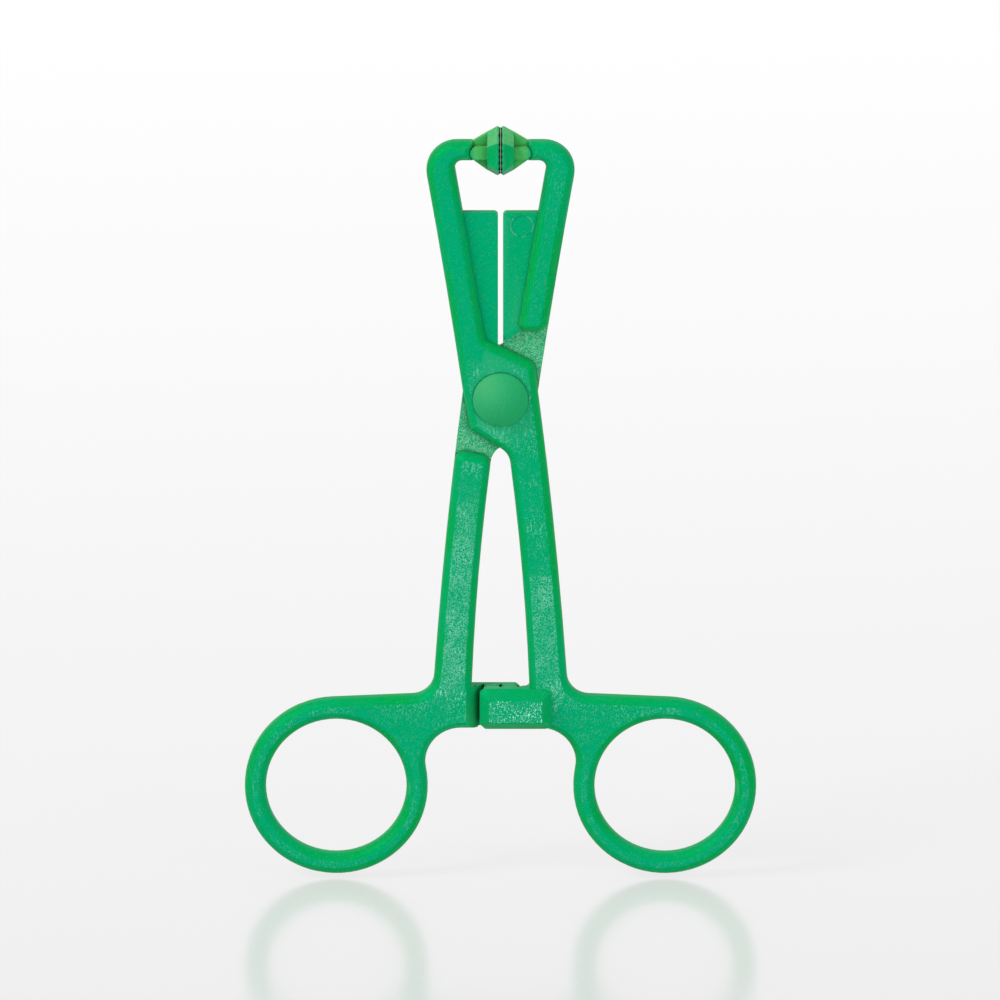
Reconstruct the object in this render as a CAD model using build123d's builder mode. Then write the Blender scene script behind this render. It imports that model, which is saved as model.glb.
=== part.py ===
from build123d import *
import os

# Ratcheted towel forceps, moulded plastic, closed.
# Frame: X across the finger rings, +Z towards the jaws, front face towards -Y.
# The origin is under the pivot, level with the bottom of the rings, in the mid-plane.
# Both arms are one moulding: the back arm is the front arm turned half a turn about Z.

os.makedirs("parts", exist_ok=True)

# Driving dimensions, mm
THICK = 4.0  # depth of an arm, front to back
HALF = THICK / 2
EDGE_R = 1.55  # rounding of the front and back edges
LAP = 0.06  # each lapped plate stops this far from the mid-plane
PIVOT_Z = 86.1

RING_X = 28.4  # centre of a finger ring, from the middle
RING_R = 15.82  # outside, and the height of the ring's centre
FINGER_R = 12.15  # hole of the ring

BAR_TOP = 132.1  # crossbar of the jaw
BAR_UNDER = 128.65
BAR_END = 4.8  # the crossbar stops this far from the middle
WEB_HALF = 0.7  # half the thickness of the web
WEB_TOP = 119.3
WEB_CORNER = 0.7  # rounding of the web's top corner
SLOT_HALF = 0.43  # half the slot between the two webs

PAD_Z = 130.2
PAD_FACE = 0.53  # rim of the toothed face, from the mid-plane between the jaws
PAD_REAR = 2.28  # back of the pad
PAD_TIP = 0.015  # tips of the teeth
PAD_RISE = 4.45  # half height at the mid-plane ridge
PAD_SIDE = 2.55  # half height of the front and back faces
PAD_DEPTH = 4.15  # half depth
PAD_TAPER = 1.0  # the pad narrows by this much on every side, towards its rear
PAD_RIM = 0.33  # bevel around the toothed face
TOOTH_PITCH = 1.1
TOOTH_DEPTH = 0.42
TOOTH_COUNT = 7
NOSE_END = -5.25  # round end of the rib behind the pad, over the crossbar's end
NOSE_SIDE = 1.05  # half height of that rib
NOSE_DEPTH = 1.95  # half depth
GUSSET_DEPTH = 0.5  # half depth of the gusset above and below the rib
GUSSET_ROOT = -5.6  # where the gusset starts, inside the crossbar
GUSSET_DROP = 0.12  # its edge stays this far below the pad's ridge

CROWN_ANGLE = 87.5  # where the crossbar leaves the ring, a tangent to it
CROWN_RUN = 17.4

RACK_TIP = 3.62  # the rack reaches this far past the centre line
RACK_TOP = 33.8
RACK_UNDER = 26.5
BAR_FLOOR = 26.35  # underside of the bar between shank and ring
BAR_STUB = 33.6  # top of the bar where it meets the rack
RACK_FOOT = 3.9  # the wall that faces the other rack slopes from here
RACK_STEP = 5.95  # to here
BOSS_END = 8.9  # far end of the raised boss
BOSS_CHAMFER = 0.9  # corners of the rack's tip
BOSS_CORNER = 1.2  # rounding of the corners at the boss's far end
BOSS_RAISE = 1.9  # the boss stands this far off the arm's front face
BOSS_TAPER = 39  # slope of its sides, degrees
BOSS_ROUND = 0.5  # rounding of the boss's edges
RATCHET_PLACES = (-3.29, -0.23, 2.83)  # steep sides of the ratchet's notches
RATCHET_RUN = 1.05  # each notch runs out over this length
RATCHET_DEPTH = 1.0

EJECTOR = (-3.66, 116.85)  # shallow round mark of an ejector pin on the web
EJECTOR_R = 1.9
EJECTOR_DEPTH = 0.1

HOLE_R = 2.55  # in both arms
RIVET_R = 2.5
HEAD_R = 4.76
HEAD_RIM = 0.5  # straight part of the head's side
HEAD_DOME = 1.65  # the dome rises this far over it
HEAD_BULGE = 0.77  # share of that rise at half the head's radius
HEAD_ROUND = 0.3  # rounding between that side and the dome
CAP_GAP = 0.1  # play between the back arm and the snap cap
TAIL_END = 3.3
TAIL_CHAMFER = 0.3
GROOVE_R = 2.2  # foot of the groove in the rivet's tail
GROOVE_NEAR = 0.3  # the groove's two sides, from the cap's inner face
GROOVE_FAR = 0.8
SNAP_FIT = 0.03  # play round the rivet inside the cap
BEAD_PLAY = 0.05  # play along the rivet at the cap's bead and at the tail's end
RIB_CHAMFER = 1.2  # corners at the back of the jaw's rib

# Corners of the arm's outline, as (x, z)
BOW_CORNER = (-13.8, BAR_TOP)
WAIST = (-6.47, 87.0)
PLATE_CORNER = (-5.3, 80.3)
CROTCH = (1.47, 75.9)
SHANK_INNER = (4.98, BAR_STUB)
SHANK_OUTER = (6.47, 87.03)
PLATE_SHOULDER = (5.95, 92.2)
WEB_ROOT = (-2.62, 96.55)
BOW_INNER = (-8.05, BAR_UNDER)

PIVOT_AXIS = Axis((0, 0, PIVOT_Z), (0, 1, 0))
RING_CENTRE = (RING_X, RING_R)


def round_corner(sketch, point, radius):
    """Round the corner of an open sketch that lies nearest to a point."""
    fillet(sketch.vertices().sort_by_distance(point)[0], radius)


def hexagon(depth, rise, side):
    """Outline of a pad on a YZ plane, ridged at the top and the bottom."""
    Polygon(
        (0, PAD_Z + rise),
        (depth, PAD_Z + side),
        (depth, PAD_Z - side),
        (0, PAD_Z - rise),
        (-depth, PAD_Z - side),
        (-depth, PAD_Z + side),
        align=None,
    )


# Outline shared by the front and the back half of an arm
with BuildSketch() as outline:
    with BuildLine():
        Line((-BAR_END, BAR_UNDER), (-BAR_END, BAR_TOP))
        Line((-BAR_END, BAR_TOP), BOW_CORNER)
        ThreePointArc(BOW_CORNER, (-9.35, 106), WAIST)
        Polyline(WAIST, PLATE_CORNER, CROTCH)
        ThreePointArc(CROTCH, (3.8, 53.7), SHANK_INNER)
        Polyline(SHANK_INNER, (RACK_FOOT, BAR_STUB), (RACK_FOOT, BAR_FLOOR))
        Line((RACK_FOOT, BAR_FLOOR), (RING_X, BAR_FLOOR))
        ring_top = CenterArc(RING_CENTRE, RING_R, 0, CROWN_ANGLE, mode=Mode.PRIVATE)
        Line((RING_X, BAR_FLOOR), ring_top @ 1)
        crown = PolarLine(ring_top @ 1, CROWN_RUN, CROWN_ANGLE + 90)
        ThreePointArc(crown @ 1, (9.52, 59.64), SHANK_OUTER)
        Polyline(SHANK_OUTER, PLATE_SHOULDER, WEB_ROOT, BOW_INNER, (-BAR_END, BAR_UNDER))
    make_face()
    with Locations(RING_CENTRE):
        Circle(RING_R)
    round_corner(outline, BOW_CORNER, 5.3)
    round_corner(outline, BOW_INNER, 1.25)
    round_corner(outline, WEB_ROOT, 1.5)
    round_corner(outline, PLATE_SHOULDER, 1.9)
    round_corner(outline, SHANK_INNER, 0.7)
    round_corner(outline, crown @ 1, 3.9)
    round_corner(outline, (RING_X - RING_R * 0.74, BAR_FLOOR), 6.2)
    with Locations(RING_CENTRE):
        Circle(FINGER_R, mode=Mode.SUBTRACT)

with BuildSketch() as front_outline:
    add(outline.sketch)
    round_corner(front_outline, CROTCH, 3.5)

# The back half leaves room for the other arm's plate, between the shank and the jaw's rib
with BuildSketch() as back_outline:
    add(outline.sketch)
    with BuildLine():
        Polyline((-10, 97.9), (10, 97.9), (10, 77.25), (-1, 74.5), (-10, 74.5), close=True)
    make_face(mode=Mode.SUBTRACT)
    for rib_corner in ((-8.1, 97.9), (-2.85, 97.9)):
        chamfer(back_outline.vertices().sort_by_distance(rib_corner)[0], RIB_CHAMFER)
    round_corner(back_outline, (7.8, 76.7), 1.65)
    round_corner(back_outline, (1.5, 75.1), 1.65)

# The two halves of the moulding, each with its outer edges rounded
with BuildPart() as front_half:
    with BuildSketch(Plane.XZ.offset(LAP)):
        add(front_outline.sketch)
    extrude(amount=HALF - LAP)
    fillet(front_half.faces().sort_by(Axis.Y)[0].edges(), EDGE_R)
    with BuildSketch(Plane.XZ.offset(LAP)):
        with Locations((0, PIVOT_Z)):
            Circle(HOLE_R)
    extrude(amount=HALF - LAP, mode=Mode.SUBTRACT)

with BuildPart() as back_half:
    with BuildSketch(Plane.XZ.offset(LAP)):
        add(back_outline.sketch)
    extrude(amount=-HALF - LAP)
    fillet(back_half.faces().group_by(Axis.Y)[-1].edges(), EDGE_R)
    # Sloping wall beside the other arm's rack
    with BuildSketch(Plane.XY.offset(RACK_TOP)):
        with BuildLine():
            Polyline(
                (RACK_STEP, HALF + 1),
                (RACK_STEP, HALF),
                (RACK_FOOT, LAP),
                (RACK_FOOT, -LAP),
                (0, -LAP),
                (0, HALF + 1),
                close=True,
            )
        make_face()
    extrude(amount=BAR_FLOOR - RACK_TOP - 1, mode=Mode.SUBTRACT)

# Thin web between the jaw's rib and the slot, cut back where the other plate passes
with BuildPart() as web:
    with BuildSketch(Plane.XZ.offset(LAP)) as web_outline:
        with BuildLine():
            Polyline(
                (-SLOT_HALF, 94.8),
                (-SLOT_HALF, WEB_TOP),
                (-8.8, WEB_TOP),
                (-5.6, 97.5),
                (-4.5, 94.8),
                close=True,
            )
        make_face()
        round_corner(web_outline, (-SLOT_HALF, WEB_TOP), WEB_CORNER)
    extrude(amount=WEB_HALF - LAP)
    with BuildSketch(Plane.XZ.offset(LAP)) as cut_web_outline:
        with BuildLine():
            Polyline(
                (-SLOT_HALF, 97.2),
                (-SLOT_HALF, WEB_TOP),
                (-8.8, WEB_TOP),
                (-6, 98.6),
                (-4.2, 98.5),
                (-1.2, 96.4),
                close=True,
            )
        make_face()
        round_corner(cut_web_outline, (-SLOT_HALF, WEB_TOP), WEB_CORNER)
    extrude(amount=-WEB_HALF - LAP)
    # Shallow round mark of an ejector pin
    with BuildSketch(Plane.XZ.offset(-WEB_HALF)):
        with Locations(EJECTOR):
            Circle(EJECTOR_R)
    extrude(amount=EJECTOR_DEPTH, mode=Mode.SUBTRACT)

# Pad with horizontal teeth, carried by a gusset and a round-ended rib
with BuildPart() as pad:
    with BuildSketch(Plane.XZ):
        Polygon(
            (GUSSET_ROOT, BAR_TOP - EDGE_R),
            (-BAR_END, BAR_TOP - 0.1),
            (-PAD_REAR, PAD_Z + PAD_RISE - PAD_TAPER - GUSSET_DROP),
            (-PAD_REAR, PAD_Z - PAD_RISE + PAD_TAPER + GUSSET_DROP),
            (-BAR_END, BAR_UNDER + 0.1),
            (GUSSET_ROOT, BAR_UNDER + EDGE_R),
            align=None,
        )
    extrude(amount=GUSSET_DEPTH, both=True)
    with BuildSketch(Plane.XZ):
        with Locations((NOSE_END + NOSE_SIDE, PAD_Z)):
            Circle(NOSE_SIDE)
            Rectangle(-PAD_REAR - NOSE_END - NOSE_SIDE, 2 * NOSE_SIDE, align=(Align.MIN, Align.CENTER))
    extrude(amount=NOSE_DEPTH, both=True)
    with BuildSketch(Plane.YZ.offset(-PAD_REAR)):
        hexagon(PAD_DEPTH - PAD_TAPER, PAD_RISE - PAD_TAPER, PAD_SIDE - PAD_TAPER)
    with BuildSketch(Plane.YZ.offset(-PAD_FACE)):
        hexagon(PAD_DEPTH, PAD_RISE, PAD_SIDE)
    loft()
    with BuildSketch(Plane.YZ.offset(-PAD_FACE)):
        hexagon(PAD_DEPTH, PAD_RISE, PAD_SIDE)
    with BuildSketch(Plane.YZ.offset(-PAD_TIP)):
        hexagon(PAD_DEPTH - PAD_RIM, PAD_RISE - PAD_RIM, PAD_SIDE - PAD_RIM)
    loft()
    with BuildSketch(Plane.XZ):
        with Locations((-PAD_TIP, PAD_Z)):
            with GridLocations(0, TOOTH_PITCH, 1, TOOTH_COUNT):
                Polygon(
                    (0, TOOTH_PITCH / 2),
                    (-TOOTH_DEPTH, 0),
                    (0, -TOOTH_PITCH / 2),
                    (1, 0),
                    align=None,
                )
    extrude(amount=PAD_DEPTH, both=True, mode=Mode.SUBTRACT)

# Raised boss of the ratchet rack, with the teeth on its inner side
with BuildPart() as rack:
    with BuildSketch(Plane.XZ.offset(LAP)) as rack_outline:
        with BuildLine():
            Polyline(
                (-RACK_TIP, RACK_UNDER),
                (-RACK_TIP, RACK_TOP),
                (BOSS_END, RACK_TOP),
                (BOSS_END, RACK_UNDER),
                close=True,
            )
        make_face()
        chamfer(rack_outline.vertices().group_by(Axis.X)[0], BOSS_CHAMFER)
        fillet(rack_outline.vertices().group_by(Axis.X)[-1], BOSS_CORNER)
    extrude(amount=HALF - LAP)
    extrude(rack.faces().sort_by(Axis.Y)[0], amount=BOSS_RAISE, taper=BOSS_TAPER)
    fillet(rack.edges().filter_by(lambda edge: edge.center().Y < 0.01 - HALF), BOSS_ROUND)
    with BuildSketch(Plane.XY.offset(RACK_UNDER)):
        with Locations([(place, -LAP) for place in RATCHET_PLACES]):
            Polygon((0, 0), (0, -RATCHET_DEPTH), (RATCHET_RUN, 0), align=None)
    extrude(amount=RACK_TOP - RACK_UNDER, mode=Mode.SUBTRACT)

# Front arm: left jaw, right finger ring
with BuildPart() as front_arm:
    add(front_half.part)
    add(back_half.part)
    add(web.part)
    add(pad.part)
    add(rack.part)

# Back arm: the same moulding, turned
with BuildPart() as back_arm:
    add(front_arm.part, rotation=(0, 0, 180))

# Rivet, drawn as half a section on a YZ plane and turned about the pivot
with BuildPart() as pivot_rivet:
    with BuildSketch(Plane.YZ) as rivet_section:
        with BuildLine():
            crown_y = -HALF - HEAD_RIM - HEAD_DOME
            rim_y = -HALF - HEAD_RIM
            tail_y = HALF + CAP_GAP
            ThreePointArc(
                (crown_y, PIVOT_Z),
                (rim_y - HEAD_BULGE * HEAD_DOME, PIVOT_Z + HEAD_R / 2),
                (rim_y, PIVOT_Z + HEAD_R),
            )
            Polyline(
                (rim_y, PIVOT_Z + HEAD_R),
                (-HALF, PIVOT_Z + HEAD_R),
                (-HALF, PIVOT_Z + RIVET_R),
                (tail_y + GROOVE_NEAR, PIVOT_Z + RIVET_R),
                (tail_y + GROOVE_NEAR, PIVOT_Z + GROOVE_R),
                (tail_y + GROOVE_FAR, PIVOT_Z + GROOVE_R),
                (tail_y + GROOVE_FAR, PIVOT_Z + RIVET_R),
                (TAIL_END - TAIL_CHAMFER, PIVOT_Z + RIVET_R),
                (TAIL_END, PIVOT_Z + RIVET_R - TAIL_CHAMFER),
                (TAIL_END, PIVOT_Z),
                (crown_y, PIVOT_Z),
            )
        make_face()
        round_corner(rivet_section, (rim_y, PIVOT_Z + HEAD_R), HEAD_ROUND)
    revolve(axis=PIVOT_AXIS)

# Snap cap: its bead sits in the groove of the rivet's tail
with BuildPart() as rivet_cap:
    with BuildSketch(Plane.YZ) as cap_section:
        with BuildLine():
            cap_y = HALF + CAP_GAP
            cap_rim_y = cap_y + HEAD_RIM
            cap_crown_y = -crown_y
            ThreePointArc(
                (cap_crown_y, PIVOT_Z),
                (cap_rim_y + HEAD_BULGE * (cap_crown_y - cap_rim_y), PIVOT_Z + HEAD_R / 2),
                (cap_rim_y, PIVOT_Z + HEAD_R),
            )
            Polyline(
                (cap_rim_y, PIVOT_Z + HEAD_R),
                (cap_y, PIVOT_Z + HEAD_R),
                (cap_y, PIVOT_Z + RIVET_R + SNAP_FIT),
                (cap_y + GROOVE_NEAR + BEAD_PLAY, PIVOT_Z + RIVET_R + SNAP_FIT),
                (cap_y + GROOVE_NEAR + BEAD_PLAY, PIVOT_Z + GROOVE_R + SNAP_FIT),
                (cap_y + GROOVE_FAR - BEAD_PLAY, PIVOT_Z + GROOVE_R + SNAP_FIT),
                (cap_y + GROOVE_FAR - BEAD_PLAY, PIVOT_Z + RIVET_R + SNAP_FIT),
                (TAIL_END + BEAD_PLAY, PIVOT_Z + RIVET_R + SNAP_FIT),
                (TAIL_END + BEAD_PLAY, PIVOT_Z),
                (cap_crown_y, PIVOT_Z),
            )
        make_face()
        round_corner(cap_section, (cap_rim_y, PIVOT_Z + HEAD_R), HEAD_ROUND)
    revolve(axis=PIVOT_AXIS)

front_arm.part.label = "front_arm"
back_arm.part.label = "back_arm"
pivot_rivet.part.label = "pivot_rivet"
rivet_cap.part.label = "rivet_cap"
for piece in (front_arm, back_arm, pivot_rivet, rivet_cap):
    export_step(piece.part, f"parts/{piece.part.label}.step")
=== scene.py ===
import math
from types import SimpleNamespace

import bpy
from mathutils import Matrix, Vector


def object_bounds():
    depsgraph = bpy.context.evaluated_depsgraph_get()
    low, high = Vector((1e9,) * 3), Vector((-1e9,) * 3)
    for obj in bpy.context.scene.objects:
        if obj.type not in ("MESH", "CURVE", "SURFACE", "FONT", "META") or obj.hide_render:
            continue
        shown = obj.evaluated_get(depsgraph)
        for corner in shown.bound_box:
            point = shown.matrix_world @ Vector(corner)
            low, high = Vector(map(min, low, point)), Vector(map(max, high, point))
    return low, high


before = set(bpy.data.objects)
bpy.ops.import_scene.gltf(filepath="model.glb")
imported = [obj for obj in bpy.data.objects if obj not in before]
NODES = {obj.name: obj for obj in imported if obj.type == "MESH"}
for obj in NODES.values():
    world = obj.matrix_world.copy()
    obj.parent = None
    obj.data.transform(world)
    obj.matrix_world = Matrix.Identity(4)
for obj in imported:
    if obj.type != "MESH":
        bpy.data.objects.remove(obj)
CAD_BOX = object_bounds()

MM = 0.001

# Camera
FRAME_WIDTH = 172.6 * MM  # what the picture spans across, at the object
ELEVATION = math.radians(17)
DISTANCE = 7.0
AIM = Vector((-0.09 * MM, 0, 67.3 * MM))
SENSOR = 36.0
CLIP_START = 0.01
CLIP_END = 50

# Floor
FLOOR_HALF = 6.0
FLOOR_DROP = 0.8 * MM  # the rings hover this far over the floor
FLOOR_MOTTLE = 0.4  # size of its faint patches
FLOOR_TONES = ((0.097, 0.097, 0.099, 1), (0.102, 0.102, 0.102, 1))
GLOW_COLOUR = (1, 0.995, 0.997, 1)
GLOW_Y = (-0.075, 0.516)  # the floor's glow rises from here to here
GLOW_STRENGTH = (0.552, 0.697)

# Ejector mark on each web: distance from the middle, height, radius
EJECTOR_X = 3.66 * MM
EJECTOR_Z = 116.85 * MM
EJECTOR_R = 1.9 * MM

# Sizes of the surface's noises
GRAIN = 0.26 * MM
STREAK = 0.3 * MM
STREAK_STRETCH = (1.0, 1.0, 0.3)  # streaks are longer along Z
DUST_AND_LIGHT_NOISE = 0.19 * MM
HAZE_GRAIN = 0.23 * MM
OLIVE_SPOT = 0.3 * MM
PATCH = 5 * MM
CLOUD = 15 * MM
SINK = 2.5 * MM  # gentle waves of the moulded surface
EJECTOR_BREAK = 1.2 * MM

# Colours of the plastic, and of the light and shade painted on it
DEEP = (0.0, 0.285, 0.062, 1)
# painted sheen: the lighter, bluer tone of the faces that look along Y
FLAT_SHEEN = (0.0, 0.297, 0.12, 1)
CLOUDED = (0.0, 0.30, 0.135, 1)
OLIVE = (0.07, 0.31, 0.045, 1)
WORN = (0.06, 0.42, 0.2, 1)
# painted light: the lit olive of the pads' upper faces
LIT_OLIVE_TOP = (0.10, 0.40, 0.14, 1)
# painted light: the lit olive of the gussets and ribs behind the pads
LIT_BEHIND_PADS = (0.085, 0.40, 0.06, 1)
DUSTY = (0.015, 0.38, 0.16, 1)
# painted glints and sheen: the pale grains and haze of the flats, also used for the ejector
# mark's ring
HAZE = (0.42, 0.78, 0.74, 1)
# painted glints on the lapped faces
LAP_GLINT = (0.47, 0.72, 0.50, 1)
GAP_SHADE = (0.0, 0.07, 0.03, 1)
BITE_SHADE = (0.0, 0.03, 0.01, 1)
GREEN_TINT = (0.0, 1.0, 0.5, 1)
DOME = (0.0, 0.28, 0.08, 1)
DOME_HAZE = (0.12, 0.40, 0.2, 1)
DOME_TINT = (1.0, 0.62, 0.42, 1)


def set_inputs(node, values):
    """Give the named sockets of a node their constant values."""
    for name, value in values.items():
        node.inputs[name].default_value = value


class Graph:
    """A small helper that adds nodes to a material and joins them."""

    def __init__(self, name):
        self.material = bpy.data.materials.new(name)
        self.material.use_nodes = True
        self.tree = self.material.node_tree
        self.tree.nodes.clear()

    def add(self, kind, values=None, **settings):
        node = self.tree.nodes.new(kind)
        for key, value in settings.items():
            setattr(node, key, value)
        set_inputs(node, values or {})
        return node

    def join(self, source, target):
        self.tree.links.new(source, target)

    def math(self, operation, first, second=0.0):
        node = self.add("ShaderNodeMath", operation=operation)
        for socket, value in zip(node.inputs, (first, second)):
            if isinstance(value, (int, float)):
                socket.default_value = value
            else:
                self.join(value, socket)
        return node.outputs[0]

    def times(self, first, *others):
        """The product of two or more values."""
        for other in others:
            first = self.math("MULTIPLY", first, other)
        return first

    def most(self, first, second):
        return self.math("MAXIMUM", first, second)

    def absolute(self, value):
        return self.math("ABSOLUTE", value)

    def step(self, value, low, high, to_low=0.0, to_high=1.0, kind="SMOOTHSTEP"):
        """A value that changes from to_low to to_high while the input goes from low to high."""
        node = self.add("ShaderNodeMapRange", interpolation_type=kind)
        self.join(value, node.inputs["Value"])
        set_inputs(node, {"From Min": low, "From Max": high, "To Min": to_low, "To Max": to_high})
        return node.outputs[0]

    def noise(self, vector, size, detail=2.0, rough=0.5):
        """Noise whose features are about size metres across."""
        values = {"Scale": 1 / size, "Detail": detail, "Roughness": rough}
        node = self.add("ShaderNodeTexNoise", values)
        self.join(vector, node.inputs["Vector"])
        return node.outputs["Fac"]

    def mix(self, share, first, second):
        node = self.add("ShaderNodeMix", data_type="RGBA")
        for name, value in (("Factor", share), ("A", first), ("B", second)):
            socket = [s for s in node.inputs if s.name == name and s.enabled][0]
            if isinstance(value, (tuple, int, float)):
                socket.default_value = value
            else:
                self.join(value, socket)
        return [s for s in node.outputs if s.enabled][0]

    def split(self, vector):
        node = self.add("ShaderNodeSeparateXYZ")
        self.join(vector, node.inputs[0])
        return node.outputs

    def finish(self, shader):
        output = self.add("ShaderNodeOutputMaterial")
        self.join(shader.outputs[0], output.inputs["Surface"])
        return self.material


def read_surface(g):
    """Where a point lies on the object, which way it faces, and the noises there."""
    coord = g.add("ShaderNodeTexCoord")
    place = coord.outputs["Object"]
    facing = g.split(coord.outputs["Normal"])
    spot = g.split(place)
    stretch = g.add("ShaderNodeMapping", {"Scale": STREAK_STRETCH})
    g.join(place, stretch.inputs["Vector"])
    depth = g.absolute(spot["Y"])
    flat = g.step(g.absolute(facing["Y"]), 0.965, 0.995)
    inner = g.step(depth, 0.2 * MM, 0.3 * MM, 1.0, 0.0)
    return SimpleNamespace(
        place=place,
        x=spot["X"],
        y=spot["Y"],
        z=spot["Z"],
        off_middle=g.absolute(spot["X"]),
        depth=depth,
        upward=facing["Z"],
        flat=flat,
        lap=g.times(flat, inner),
        grain=g.noise(place, GRAIN, 2.0, 0.55),
        streak=g.noise(stretch.outputs[0], STREAK, 2.0, 0.55),
        patch=g.noise(place, PATCH, 3.0, 0.6),
        cloud=g.noise(place, CLOUD, 2.0, 0.5),
        dust_and_light_noise=g.noise(place, DUST_AND_LIGHT_NOISE, 2.0, 0.6),
    )


def speckle(g, s, speckled, jaw_speckled, haze_from, haze_to):
    """Painted glints and sheen of the spark-textured flats: fine pale grains that come and go in
    patches, and a dense pale haze on the lower shank.
    """
    shank = g.step(s.z, haze_from - 4 * MM, haze_to + 2 * MM, 1.0, 0.15)
    shank = g.most(shank, g.step(s.patch, 0.54, 0.62, 0.0, 0.28))
    ring = g.step(s.z, 28 * MM, 38 * MM, 0.12, 1.0)
    boss = g.step(s.depth, 2.6 * MM, 3.2 * MM)
    jaw = g.step(s.z, 88 * MM, 96 * MM, 1.0, jaw_speckled)
    web = g.step(s.depth, 0.9 * MM, 1.2 * MM, 0.12, 1.0)
    where = g.times(g.times(shank, g.most(ring, boss)), g.times(jaw, web))
    painted_glint = g.most(g.step(s.grain, 0.55, 0.69), g.step(s.streak, 0.58, 0.72))
    painted_glint = g.times(painted_glint, g.step(s.patch, 0.36, 0.62, 0.12, 1.0))
    painted_glint = g.times(g.times(painted_glint, s.flat), g.times(where, speckled))

    hazy = g.step(s.z, haze_from, haze_to, 1.0, 0.0)
    hazy = g.times(hazy, g.step(s.z, 31 * MM, 37 * MM), s.flat, speckled)
    haze = g.step(g.noise(s.place, HAZE_GRAIN, 1.0, 0.5), 0.50, 0.62, 0.0, 0.31)
    haze = g.times(haze, g.step(s.patch, 0.30, 0.60, 0.35, 1.0))
    painted_glint = g.times(painted_glint, g.step(hazy, 0.0, 1.0, 1.0, 0.35))
    return g.most(painted_glint, g.times(haze, hazy))


def body_tone(g, s, deep, flat_sheen_tone, wear_share, dust_share):
    """The plastic's own green, with olive spots and wear, painted sheen on the flats, and painted
    light on the upper faces and gussets at the pads.
    """
    # Painted sheen: faces that look along Y take the lighter, bluer tone, the tilted shoulders
    # the deeper one
    tone = g.mix(s.flat, deep, flat_sheen_tone)
    tone = g.mix(g.step(s.cloud, 0.35, 0.65, 0.0, 0.5), tone, CLOUDED)
    olive = g.times(g.step(g.noise(s.place, OLIVE_SPOT, 1.0), 0.60, 0.70), 0.3)
    tone = g.mix(olive, tone, OLIVE)
    worn = g.add("ShaderNodeNewGeometry").outputs["Pointiness"]
    tone = g.mix(g.step(worn, 0.53, 0.62, 0.0, wear_share), tone, WORN)
    # Painted light: the upper faces of the pads and of their gussets are made lighter and olive,
    # as if lit from above, broken up by the grain
    tip = g.step(s.off_middle, 4.2 * MM, 5.4 * MM, 1.0, 0.0)
    upper = g.times(g.step(s.upward, 0.25, 0.8), g.step(s.z, 129 * MM, 131 * MM))
    top_light = g.times(upper, tip, g.step(s.grain, 0.3, 0.6, 0.25, 0.9))
    tone = g.mix(top_light, tone, LIT_OLIVE_TOP)
    # Painted light: the gussets and ribs behind the pads are made lighter and more olive, as if
    # lit, in patches
    behind = g.times(tip, g.step(s.off_middle, 2.2 * MM, 2.35 * MM))
    behind = g.times(behind, g.step(s.z, 124 * MM, 125 * MM))
    behind = g.times(behind, g.step(s.dust_and_light_noise, 0.35, 0.65, 0.4, 0.75))
    tone = g.mix(behind, tone, LIT_BEHIND_PADS)
    return g.mix(g.step(s.dust_and_light_noise, 0.35, 0.65, 0.0, dust_share), tone, DUSTY)


def ejector_ring(g, s):
    """Broken pale ring round the ejector mark, on one side of each web."""
    off_x = g.math("SUBTRACT", s.off_middle, EJECTOR_X)
    off_z = g.math("SUBTRACT", s.z, EJECTOR_Z)
    reach = g.math("SQRT", g.math("ADD", g.math("POWER", off_x, 2), g.math("POWER", off_z, 2)))
    edge = g.absolute(g.math("SUBTRACT", reach, EJECTOR_R))
    edge = g.step(edge, 0.02 * MM, 0.17 * MM, 1.0, 0.0)
    marked = g.math("LESS_THAN", g.times(s.x, s.y), 0.0)
    broken = g.step(g.noise(s.place, EJECTOR_BREAK, 2.0), 0.42, 0.62, 0.0, 0.18)
    return g.times(edge, marked, broken)


def shade(g, s, colour):
    """Deep shade in the narrow gaps between the pieces and in the bite of the pads' teeth."""
    nook = g.add("ShaderNodeAmbientOcclusion", {"Distance": 0.8 * MM}, samples=8)
    gap = g.step(nook.outputs["AO"], 0.40, 0.78, 0.8, 0.0)
    gap = g.times(gap, g.step(s.z, 122 * MM, 127 * MM, 1.0, 0.4))
    colour = g.mix(gap, colour, GAP_SHADE)
    bite = g.step(s.off_middle, 0.12 * MM, 0.42 * MM, 0.92, 0.0)
    bite = g.times(bite, g.step(s.z, 122 * MM, 124 * MM))
    return g.mix(bite, colour, BITE_SHADE)


def moulded_bump(g, s, pitting):
    """Spark texture, strongest on the flats, over gentle waves."""
    fine = g.add("ShaderNodeBump", {"Strength": 0.4, "Distance": 0.05 * MM})
    height = g.times(s.grain, g.step(s.flat, 0.0, 1.0, pitting, 1.0))
    g.join(height, fine.inputs["Height"])
    waves = g.add("ShaderNodeBump", {"Strength": 0.25, "Distance": 0.12 * MM})
    g.join(g.noise(s.place, SINK, 2.0), waves.inputs["Height"])
    g.join(fine.outputs[0], waves.inputs["Normal"])
    return waves.outputs[0]


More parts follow.
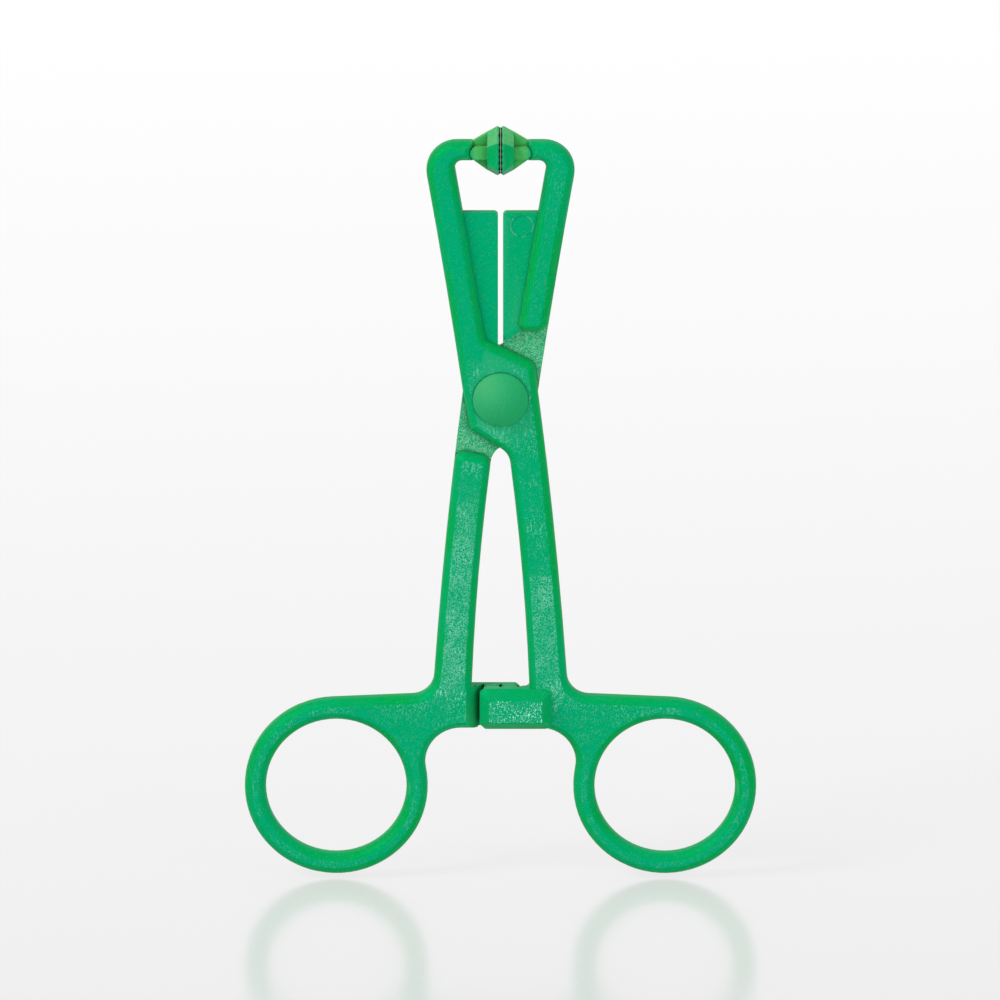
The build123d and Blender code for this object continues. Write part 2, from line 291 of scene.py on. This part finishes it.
def moulded_plastic(
    name, deep, flat_sheen_tone, haze, sheen, tint, smooth, pitting=0.15, wear_share=0.3,
    dust_share=0.0, speckled=1.0, jaw_speckled=1.0, haze_from=0.0, haze_to=1 * MM,
):
    """Green moulded plastic: spark-textured flats with pale speckle that is painted glints,
    smooth deeper shoulders, and painted sheen, light and shade.
    """
    g = Graph(name)
    s = read_surface(g)
    tone = body_tone(g, s, deep, flat_sheen_tone, wear_share, dust_share)
    # Painted glints and sheen: pale grains and haze over the flats
    colour = g.mix(speckle(g, s, speckled, jaw_speckled, haze_from, haze_to), tone, haze)
    # Painted glints: the lapped faces between the plates are the roughest of all and get dense
    # pale flecks
    lap_glint = g.times(g.step(s.dust_and_light_noise, 0.42, 0.68, 0.0, 0.42), s.lap)
    colour = g.mix(lap_glint, colour, LAP_GLINT)
    colour = shade(g, s, g.mix(ejector_ring(g, s), colour, haze))

    rough = g.step(s.flat, 0.0, 1.0, smooth, max(smooth, 0.52))
    rough = g.math("ADD", rough, g.times(s.grain, 0.15))
    values = {"IOR": 1.49, "Specular IOR Level": sheen, "Specular Tint": tint}
    shader = g.add("ShaderNodeBsdfPrincipled", values)
    g.join(colour, shader.inputs["Base Color"])
    g.join(rough, shader.inputs["Roughness"])
    g.join(moulded_bump(g, s, pitting), shader.inputs["Normal"])
    return g.finish(shader)


def dress(node, material):
    """Give a CAD node its material."""
    slots = NODES[node].material_slots
    for slot in slots:
        slot.link = "OBJECT"
        slot.material = material
    if not slots:
        NODES[node].data.materials.append(material)


def dress_all():
    arm = {
        "deep": DEEP, "flat_sheen_tone": FLAT_SHEEN, "haze": HAZE,
        "sheen": 0.07, "tint": GREEN_TINT, "smooth": 0.36,
    }
    # The front arm's haze stops at a sharp step, the back arm's fades out
    front = moulded_plastic(
        "front_green", **arm, jaw_speckled=0.08, haze_from=53.8 * MM, haze_to=54.4 * MM
    )
    back = moulded_plastic(
        "back_green", **arm, jaw_speckled=0.35, haze_from=55.0 * MM, haze_to=75.0 * MM
    )
    rivet = moulded_plastic(
        "rivet_green", DOME, DOME, DOME_HAZE, 0.2, DOME_TINT, smooth=0.58,
        pitting=1.0, wear_share=0.0, dust_share=0.2805, speckled=0.0,
    )
    dress("front_arm", front)
    dress("back_arm", back)
    dress("pivot_rivet", rivet)
    dress("rivet_cap", rivet)


def pale_floor():
    """Flat white floor with a faint gloss and a painted glow of its own that makes it a little
    brighter towards the back.
    """
    half = FLOOR_HALF
    z = CAD_BOX[0][2] - FLOOR_DROP
    corners = [(-half, -half, z), (half, -half, z), (half, half, z), (-half, half, z)]
    mesh = bpy.data.meshes.new("floor")
    mesh.from_pydata(corners, [], [(0, 1, 2, 3)])
    floor = bpy.data.objects.new("floor", mesh)
    bpy.context.scene.collection.objects.link(floor)
    g = Graph("floor_white")
    place = g.add("ShaderNodeTexCoord").outputs["Object"]
    mottle = g.noise(place, FLOOR_MOTTLE, 2.0)
    glow = g.step(g.split(place)["Y"], *GLOW_Y, *GLOW_STRENGTH, kind="LINEAR")
    values = {"Roughness": 0.18, "IOR": 1.75, "Emission Color": GLOW_COLOUR}
    shader = g.add("ShaderNodeBsdfPrincipled", values)
    g.join(g.mix(mottle, *FLOOR_TONES), shader.inputs["Base Color"])
    g.join(glow, shader.inputs["Emission Strength"])
    mesh.materials.append(g.finish(shader))


def area_light(name, place, size, power, diffuse=True, glossy=True):
    """A square soft light that faces the object."""
    data = bpy.data.lights.new(name, "AREA")
    data.size = size
    data.energy = power
    lamp = bpy.data.objects.new(name, data)
    bpy.context.scene.collection.objects.link(lamp)
    lamp.location = place
    lamp.visible_diffuse = diffuse
    lamp.visible_glossy = glossy
    lamp.rotation_euler = (AIM - lamp.location).to_track_quat("-Z", "Y").to_euler()


def studio():
    """A room that is dim behind the camera and bright behind the object, and three lights."""
    world = bpy.data.worlds.new("studio")
    world.use_nodes = True
    tree = world.node_tree
    coord = tree.nodes.new("ShaderNodeTexCoord")
    side = tree.nodes.new("ShaderNodeSeparateXYZ")
    ramp = tree.nodes.new("ShaderNodeMapRange")
    set_inputs(ramp, {"From Min": -0.8, "From Max": 0.4, "To Min": 0.2, "To Max": 0.9})
    tree.links.new(coord.outputs["Generated"], side.inputs[0])
    tree.links.new(side.outputs["Y"], ramp.inputs["Value"])
    tree.links.new(ramp.outputs[0], tree.nodes["Background"].inputs["Strength"])
    tree.nodes["Background"].inputs["Color"].default_value = (1, 1, 1, 1)
    bpy.context.scene.world = world
    area_light("key", Vector((-0.85, -0.42, 0.95)), 0.45, 12.9)
    area_light("fill", Vector((0.85, -1.0, 0.4)), 0.9, 11.8, glossy=False)
    area_light("gloss", Vector((-0.8, -1.1, 0.6)), 1.2, 58.0, diffuse=False)
    bpy.context.scene.view_settings.view_transform = "Standard"


def camera():
    """A long lens far away, so that the picture is nearly orthographic."""
    data = bpy.data.cameras.new("camera")
    data.sensor_width = SENSOR
    data.lens = SENSOR * DISTANCE / FRAME_WIDTH
    data.clip_start = CLIP_START
    data.clip_end = CLIP_END
    eye = bpy.data.objects.new("camera", data)
    bpy.context.scene.collection.objects.link(eye)
    eye.location = AIM + DISTANCE * Vector((0, -math.cos(ELEVATION), math.sin(ELEVATION)))
    eye.rotation_euler = (AIM - eye.location).to_track_quat("-Z", "Y").to_euler()
    bpy.context.scene.camera = eye


dress_all()
pale_floor()
studio()
camera()
